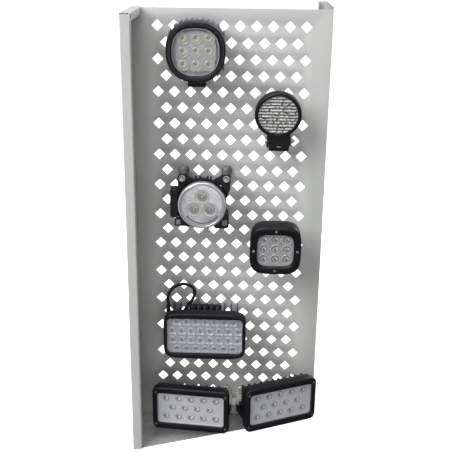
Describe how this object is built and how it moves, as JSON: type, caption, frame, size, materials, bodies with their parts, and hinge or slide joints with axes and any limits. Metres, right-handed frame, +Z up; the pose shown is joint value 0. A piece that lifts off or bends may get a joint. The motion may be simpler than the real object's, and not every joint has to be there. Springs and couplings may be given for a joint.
{
  "type": "work lamp display rack",
  "caption": "Free-standing perforated sheet-metal rack with folded cheeks, carrying adjustable work lamps bolted to its diagonal hole grid.",
  "frame": {"origin": "floor level, under the middle of the perforated panel's front face", "axes": "+Z up, +Y to the back, +X to the right seen from the front"},
  "size_m": [0.364, 0.272, 0.848],
  "materials": {
    "rack_sheet": "satin powder coat",
    "zinc_steel": "yellowish zinc plate",
    "bracket_steel": "black powder coat",
    "housing_black": "black powder coat on die casting",
    "housing_grey": "grey powder coat on die casting",
    "bezel_black": "satin black",
    "headlamp_black": "matt black glass-filled plastic",
    "cap_grey": "matt dark grey",
    "lens_clear": "polished clear polycarbonate",
    "reflector_silver": "vacuum metallised",
    "board": "pale board with yellow emitters",
    "screw_steel": "plain stainless steel",
    "cable_black": "matt black sheath"
  },
  "bodies": {
    "rack": {"perforated_panel": "rack_sheet", "base_plate": "rack_sheet", "left_cheek": "rack_sheet", "right_cheek": "rack_sheet", "panel_fasteners": "zinc_steel", "headlamp_frame": "headlamp_black", "headlamp_adjuster_caps": "cap_grey", "headlamp_driver_box": "headlamp_black"},
    "headlamp_module": {"headlamp_housing": "housing_black", "headlamp_lens": "lens_clear", "headlamp_reflectors": "reflector_silver", "headlamp_led_board": "board"},
    "top_lamp_mount": {"top_lamp_bracket": "bracket_steel", "top_lamp_pivot_bolt": "zinc_steel"},
    "top_lamp": {"top_lamp_housing": "housing_grey", "top_lamp_bezel": "bezel_black", "top_lamp_lens": "lens_clear", "top_lamp_reflectors": "reflector_silver", "top_lamp_led_board": "board", "top_lamp_screws": "screw_steel"},
    "round_lamp_mount": {"round_lamp_bracket": "bracket_steel", "round_lamp_pivot_bolt": "zinc_steel"},
    "round_lamp": {"round_lamp_housing": "housing_grey", "round_lamp_bezel": "bezel_black", "round_lamp_lens": "lens_clear", "round_lamp_led_board": "board"},
    "square_lamp_mount": {"square_lamp_bracket": "bracket_steel", "square_lamp_pivot_bolt": "zinc_steel"},
    "square_lamp": {"square_lamp_housing": "housing_black", "square_lamp_bezel": "bezel_black", "square_lamp_lens": "lens_clear", "square_lamp_reflectors": "reflector_silver", "square_lamp_led_board": "board", "square_lamp_screws": "screw_steel"},
    "wide_lamp_mount": {"wide_lamp_bracket": "bracket_steel", "wide_lamp_pivot_bolt": "zinc_steel"},
    "wide_lamp": {"wide_lamp_housing": "housing_black", "wide_lamp_bezel": "bezel_black", "wide_lamp_lens": "lens_clear", "wide_lamp_reflectors": "reflector_silver", "wide_lamp_led_board": "board", "wide_lamp_cable": "cable_black", "wide_lamp_cable_gland": "cable_black", "wide_lamp_connector": "headlamp_black"},
    "left_lamp_mount": {"left_lamp_bracket": "zinc_steel", "left_lamp_pivot_bolt": "zinc_steel"},
    "left_lamp": {"left_lamp_housing": "housing_black", "left_lamp_bezel": "bezel_black", "left_lamp_lens": "lens_clear", "left_lamp_reflectors": "reflector_silver", "left_lamp_led_board": "board", "left_lamp_screws": "screw_steel"},
    "right_lamp_mount": {"right_lamp_bracket": "zinc_steel", "right_lamp_pivot_bolt": "zinc_steel"},
    "right_lamp": {"right_lamp_housing": "housing_black", "right_lamp_bezel": "bezel_black", "right_lamp_lens": "lens_clear", "right_lamp_reflectors": "reflector_silver", "right_lamp_led_board": "board", "right_lamp_screws": "screw_steel"}
  },
  "joints": [
    {"name": "top_lamp_swivel", "type": "hinge", "parent": "rack", "child": "top_lamp_mount", "pos_m": [-0.06, 0, 0.722], "axis": [0, 1, 0], "range_deg": [-15, 15]},
    {"name": "top_lamp_tilt", "type": "hinge", "parent": "top_lamp_mount", "child": "top_lamp", "pos_m": [-0.06, -0.042, 0.7175], "axis": [1, 0, 0], "range_deg": [-10, 20]},
    {"name": "round_lamp_swivel", "type": "hinge", "parent": "rack", "child": "round_lamp_mount", "pos_m": [0.09, 0, 0.602], "axis": [0, 1, 0], "range_deg": [-15, 15]},
    {"name": "round_lamp_tilt", "type": "hinge", "parent": "round_lamp_mount", "child": "round_lamp", "pos_m": [0.09, -0.04, 0.612], "axis": [1, 0, 0], "range_deg": [-15, 20]},
    {"name": "square_lamp_swivel", "type": "hinge", "parent": "rack", "child": "square_lamp_mount", "pos_m": [0.09, 0, 0.422], "axis": [0, 1, 0], "range_deg": [-15, 15]},
    {"name": "square_lamp_tilt", "type": "hinge", "parent": "square_lamp_mount", "child": "square_lamp", "pos_m": [0.09, -0.02, 0.422], "axis": [1, 0, 0], "range_deg": [-15, 15]},
    {"name": "wide_lamp_swivel", "type": "hinge", "parent": "rack", "child": "wide_lamp_mount", "pos_m": [-0.045, 0, 0.212], "axis": [0, 1, 0], "range_deg": [-10, 10]},
    {"name": "wide_lamp_tilt", "type": "hinge", "parent": "wide_lamp_mount", "child": "wide_lamp", "pos_m": [-0.045, -0.02, 0.212], "axis": [1, 0, 0], "range_deg": [-5, 20]},
    {"name": "left_lamp_swivel", "type": "hinge", "parent": "rack", "child": "left_lamp_mount", "pos_m": [0, 0, 0.062], "axis": [0, 1, 0], "range_deg": [-3, 3]},
    {"name": "left_lamp_yaw", "type": "hinge", "parent": "left_lamp_mount", "child": "left_lamp", "pos_m": [0, -0.035, 0.042], "axis": [0, 0, 1], "range_deg": [-12, 6]},
    {"name": "right_lamp_swivel", "type": "hinge", "parent": "rack", "child": "right_lamp_mount", "pos_m": [0.03, 0, 0.062], "axis": [0, 1, 0], "range_deg": [-3, 3]},
    {"name": "right_lamp_yaw", "type": "hinge", "parent": "right_lamp_mount", "child": "right_lamp", "pos_m": [0.03, -0.035, 0.042], "axis": [0, 0, 1], "range_deg": [-13, 5]},
    {"name": "headlamp_aim", "type": "hinge", "parent": "rack", "child": "headlamp_module", "pos_m": [-0.0485, -0.04, 0.458], "axis": [1, 0, 0], "range_deg": [-3, 3]}
  ]
}
